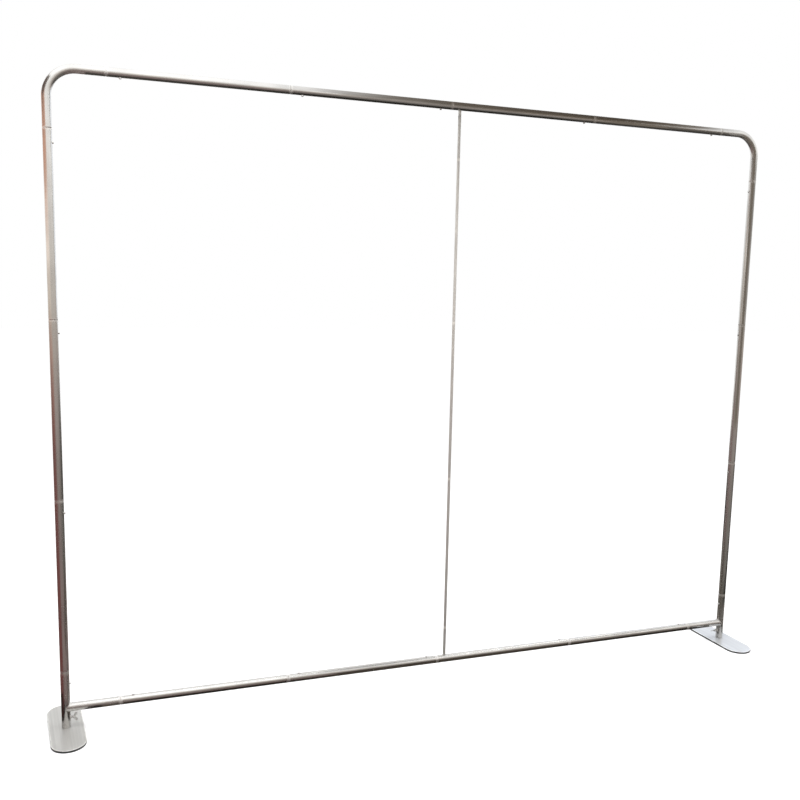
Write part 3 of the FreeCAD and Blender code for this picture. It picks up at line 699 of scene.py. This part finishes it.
def glow(name, stops, axis):
    """An emission whose colour follows one coordinate through stops of (place, colour)."""
    material = bpy.data.materials.new(name)
    material.use_nodes = True
    tree = material.node_tree
    tree.nodes.remove(tree.nodes["Principled BSDF"])
    emission = tree.nodes.new("ShaderNodeEmission")
    tree.links.new(emission.outputs[0], tree.nodes["Material Output"].inputs["Surface"])
    if len(stops) == 1:
        emission.inputs["Color"].default_value = (*stops[0][1], 1)
        return material
    first, last = stops[0][0], stops[-1][0]
    coordinates = tree.nodes.new("ShaderNodeTexCoord")
    split = tree.nodes.new("ShaderNodeSeparateXYZ")
    tree.links.new(coordinates.outputs["Object"], split.inputs[0])
    share = tree.nodes.new("ShaderNodeMapRange")
    share.inputs["From Min"].default_value = first
    share.inputs["From Max"].default_value = last
    tree.links.new(split.outputs[axis], share.inputs["Value"])
    ramp = tree.nodes.new("ShaderNodeValToRGB")
    tree.links.new(share.outputs["Result"], ramp.inputs[0])
    marks = ramp.color_ramp.elements
    for number, (place, colour) in enumerate(stops):
        position = (place - first) / (last - first)
        mark = marks[number] if number < 2 else marks.new(position)
        mark.position = position
        mark.color = (*(c / BRIGHTEST_STOP for c in colour), 1)
    emission.inputs["Strength"].default_value = BRIGHTEST_STOP
    tree.links.new(ramp.outputs["Color"], emission.inputs["Color"])
    return material


def make_card(name, corners, stops, axis):
    """A studio card that only shows as a reflection in the metal."""
    card = flat_mesh(name, corners)
    card.data.materials.append(glow(name + "_colour", stops, axis))
    card.visible_camera = False
    card.visible_diffuse = False
    card.visible_shadow = False
    card.visible_transmission = False


def wall(name, ends, low, high, *stops):
    """An upright card whose colour follows the height."""
    (x1, y1), (x2, y2) = ends
    make_card(name, [(x1, y1, low), (x2, y2, low), (x2, y2, high), (x1, y1, high)], stops, "Z")


def level(name, x, y, height, *stops):
    """A level card whose colour follows X."""
    (x1, x2), (y1, y2) = x, y
    make_card(name, [(x1, y1, height), (x2, y1, height), (x2, y2, height), (x1, y2, height)], stops, "X")


def grey(value, warm=0.0):
    """A grey, with its red raised and its blue lowered by a share."""
    return (value * (1 + warm), value, value * (1 - warm))


def greys(*stops):
    """Stops of grey, each given as place, value and warmth."""
    return [(place, grey(value, warm)) for place, value, warm in stops]


# Places of the cards, in metres: where two on the floor overlap, the higher one shows

FLOOR_CARD_Z = 0.0010
STRIP_CARD_Z = 0.0012
CONTACT_CARD_Z = 0.0014
FOOT_CARD_Z = 0.0015
BELOW_BAR_CARD_Z = 2.385
ROOF_CARD_Z = 2.50
ABOVE_BAR_CARD_Z = 2.9
RED_CARD_TOP = 2.75
ROOM_X = 8
ROOM_HEIGHT = 6


# Glowing cards on the floor, seen only in reflection: painted reflections of a darker floor, and painted
# shade under the bars and round the feet and legs, where the contact shadows fall
def make_floor_cards():
    level("floor_card", (-8, 0), (-7, 7), FLOOR_CARD_Z, (0, (0.25, 0.195, 0.185)))
    right = greys((0, 0.175, 0.08), (2.2, 0.20, 0.08), (3.4, 0.20, 0.08), (4.3, 0.12, 0.08), (8, 0.12, 0.08))
    level("floor_right_card", (0, 8), (-7, 7), FLOOR_CARD_Z, *right)
    level("floor_red_card", (-3.5, -1.56), (-0.25, 0.15), STRIP_CARD_Z, (0, (0.18, 0.07, 0.065)))
    front = greys((-0.95, 0.06, 0.2), (-0.4, 0.07, 0.2), (0.1, 0.12, 0.15), (1.0, 0.14, 0.1),
                  (1.6, 0.08, 0.1), (2.0, 0.03, 0.1))
    level("front_strip_card", (-0.95, 2.0), (-0.9, -0.42), STRIP_CARD_Z, *front)
    under = greys((-0.4, 0.03, 0.2), (0.1, 0.03, 0.2), (0.6, 0.08, 0.2), (1.42, 0.15, 0.1))
    level("bar_strip_card", (-0.4, 1.42), (-0.42, 0.35), STRIP_CARD_Z, *under)
    contact = greys((-1.38, 0.10, 0.2), (-1.25, 0.02, 0.2), (-0.8, 0.02, 0.2), (-0.5, 0.035, 0.2),
                    (-0.38, 0.06, 0.2), (0.4, 0.055, 0.2), (0.7, 0.03, 0.2), (1.42, 0.02, 0.2))
    level("bar_contact_card", (-1.38, 1.42), (-0.15, 0.1), CONTACT_CARD_Z, *contact)
    level("right_strip_card", (2.0, 4.2), (-0.9, 1.0), STRIP_CARD_Z, (0, grey(0.02, 0.1)))
    level("back_strip_card", (-1.5, 4.5), (1.6, 3.4), STRIP_CARD_Z, (0, grey(0.02, 0.1)))
    level("left_foot_card", (-1.64, -1.38), (-0.24, 0.24), FOOT_CARD_Z, (0, grey(0.018, 0.1)))
    level("right_foot_card", (1.37, 1.64), (-0.24, 0.24), FOOT_CARD_Z, (0, grey(0.018, 0.1)))
    wall("left_leg_card", ((-1.60, -0.1), (-1.60, 0.1)), 0.013, 0.11, (0, (0.04, 0.02, 0.018)))
    wall("right_leg_card", ((1.45, -0.085), (1.42, 0.05)), 0.013, 0.08, (0, grey(0.15, 0.05)))


def make_room_cards():
    front = ((0, (0.25, 0.22, 0.20)), (0.39, (0.32, 0.28, 0.26)), (0.75, (0.40, 0.34, 0.32)),
             (1.14, (0.48, 0.42, 0.38)), (1.7, (0.64, 0.60, 0.55)), (2.28, (0.92, 0.88, 0.84)),
             (2.86, (1.15, 1.13, 1.11)), (3.4, (1.2, 1.2, 1.18)))
    wall("front_card", ((-ROOM_X, -3), (ROOM_X, -3)), 0, ROOM_HEIGHT, *front)
    right = ((0, (0.28, 0.24, 0.22)), (0.5, (0.45, 0.38, 0.35)), (1.4, (0.55, 0.50, 0.46)),
             (2.0, (0.64, 0.62, 0.58)), (2.8, (0.78, 0.76, 0.73)), (3.6, (1.2, 1.2, 1.18)))
    wall("right_card", ((ROOM_X, -6), (ROOM_X, 7)), 0, ROOM_HEIGHT, *right)
    left = ((0, (0.24, 0.21, 0.19)), (1.4, (0.40, 0.38, 0.34)), (2.0, (0.50, 0.48, 0.44)),
            (2.5, (0.62, 0.60, 0.56)), (3.0, (0.80, 0.78, 0.76)), (4.0, (0.95, 0.95, 0.95)))
    wall("left_card", ((-ROOM_X, 7), (-ROOM_X, -6)), 0, ROOM_HEIGHT, *left)


def make_red_cards():
    """Cards for the red reflection in the left upright and bend, and for the dark above it."""
    left, right, front, back = -3.5, -1.66, -0.25, 0.15
    red_top, dark = (0.71, 0.41, 0.30), (0.13, 0.09, 0.08)
    red = ((0, (0.16, 0.06, 0.057)), (1.0, (0.22, 0.10, 0.09)), (1.2, (0.34, 0.185, 0.155)),
           (1.43, (0.53, 0.37, 0.31)), (1.6, (0.72, 0.64, 0.56)), (1.82, (1.05, 0.93, 0.84)),
           (2.0, (1.05, 0.86, 0.76)), (2.16, red_top))
    wall("red_left_card", ((left, front), (left, back)), 0, RED_CARD_TOP, *red, (RED_CARD_TOP, red_top))
    shaded = (*red, (2.40, red_top), (2.47, dark), (RED_CARD_TOP, dark))
    wall("red_front_card", ((left, front), (right, front)), 0, RED_CARD_TOP, *shaded)
    wall("red_back_card", ((left, back), (right, back)), 0, RED_CARD_TOP, *shaded)
    high = ((RED_CARD_TOP, (0.35, 0.20, 0.17)), (3.0, dark), (4.2, (0.15, 0.12, 0.10)),
            (5.0, (0.8, 0.8, 0.75)), (5.5, (1.1, 1.1, 1.05)))
    wall("left_high_card", ((left, -1.5), (left, 1.3)), RED_CARD_TOP, 5.5, *high)


def make_right_and_top_cards():
    wall("right_near_card", ((1.0, -0.418), (1.85, -0.56)), 1.0, 2.3, (0, (0.20, 0.17, 0.14)))
    side = greys((1.5, 0.45, 0.05), (1.65, 0.36, 0.05), (2.4, 0.28, 0.05))
    wall("right_side_card", ((1.85, -0.56), (2.45, -0.19)), 1.5, 2.4, *side)
    band = greys((-0.35, 0.5, 0.08), (-0.2, 0.36, 0.08), (0.1, 0.26, 0.1), (0.45, 0.18, 0.15),
                 (0.88, 0.17, 0.2), (1.3, 0.13, 0.25), (1.75, 0.17, 0.2), (2.1, 0.27, 0.1), (2.4, 0.5, 0.05))
    corners = [(-0.35, -0.467, 2.2), (2.4, -1.577, 1.9), (2.4, -1.577, 2.75), (-0.35, -0.467, 2.75)]
    make_card("right_band_card", corners, band, "X")
    roof = greys((-1.6, 1.5, 0), (-0.9, 1.5, 0), (-0.6, 1.1, 0), (-0.4, 0.5, 0.03), (-0.2, 0.2, 0.12),
                 (0.1, 0.11, 0.2), (0.8, 0.07, 0.25), (1.05, 0.12, 0.2), (1.25, 0.25, 0.1), (1.38, 0.8, 0),
                 (1.5, 1.1, 0))
    level("roof_card", (-1.6, 1.5), (-0.3, 0.05), ROOF_CARD_Z, *roof)
    below = greys((-1.38, 0.06, 0.1), (-0.8, 0.04, 0.1), (-0.5, 0.02, 0.1), (0.45, 0.02, 0.1),
                  (0.8, 0.05, 0.1), (1.38, 0.04, 0.1))
    level("below_bar_card", (-1.38, 1.38), (-0.022, 0.06), BELOW_BAR_CARD_Z, *below)
    level("below_bar_end_card", (1.05, 1.38), (-0.06, -0.022), BELOW_BAR_CARD_Z, (0, grey(0.10, 0.1)))
    dusk = greys((0.1, 0.85, 0), (0.35, 0.73, 0), (0.7, 0.78, 0), (1.05, 0.85, 0))
    level("above_bar_card", (0.1, 1.05), (-2.9, 1.5), ABOVE_BAR_CARD_Z, *dusk)
    wall("back_right_card", ((3.5, 6.5), (7.9, 3.0)), 1.2, 5, (0, (1.15, 1.20, 1.30)))


def make_lamp(name, width, depth, power, place):
    lamp = bpy.data.lights.new(name, "AREA")
    lamp.shape = "RECTANGLE"
    lamp.size = width
    lamp.size_y = depth
    lamp.energy = power
    made = bpy.data.objects.new(name, lamp)
    made.location = place
    bpy.context.scene.collection.objects.link(made)
    return made


def make_lamps():
    make_lamp("top_softbox", width=8, depth=5, power=100, place=(0, -1.0, 5.0))
    near = make_lamp("near_softbox", width=3.5, depth=0.8, power=75, place=(0, -0.1, 4.6))
    near.visible_glossy = False


make_camera()
finishes = make_finishes()
dress_nodes(finishes)
make_weld_beads(finishes["bead"])
make_wing_bolts(finishes["zinc"])
make_world()
make_floor()
make_floor_cards()
make_room_cards()
make_red_cards()
make_right_and_top_cards()
make_lamps()

bpy.context.scene.view_settings.view_transform = "Standard"
